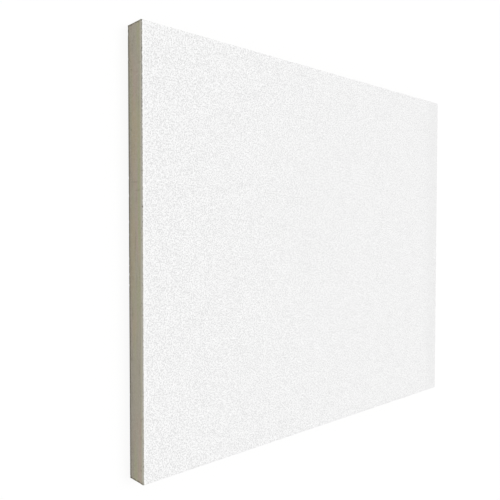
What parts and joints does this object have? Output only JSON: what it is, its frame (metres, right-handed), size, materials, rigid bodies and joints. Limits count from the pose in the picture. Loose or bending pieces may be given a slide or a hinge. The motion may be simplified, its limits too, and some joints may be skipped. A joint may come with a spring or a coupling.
{
  "type": "gypsum ceiling tile",
  "caption": "Flat rectangular ceiling tile: a tan gypsum board with square cut edges and a white, finely textured face layer, for laying in an exposed suspended grid.",
  "frame": {"origin": "middle of the back, at the bottom centre of the bounding box, with the tile lying on its back", "axes": "+X along the length, +Y across the width, +Z out of the visible face"},
  "size_m": [0.595, 0.495, 0.028],
  "materials": {
    "gypsum_board": "matt, tan, cut and finely porous",
    "face_layer": "matt white, fine sandy relief"
  },
  "bodies": {
    "root": {"gypsum_board": "gypsum_board", "face_layer": "face_layer"}
  },
  "joints": []
}
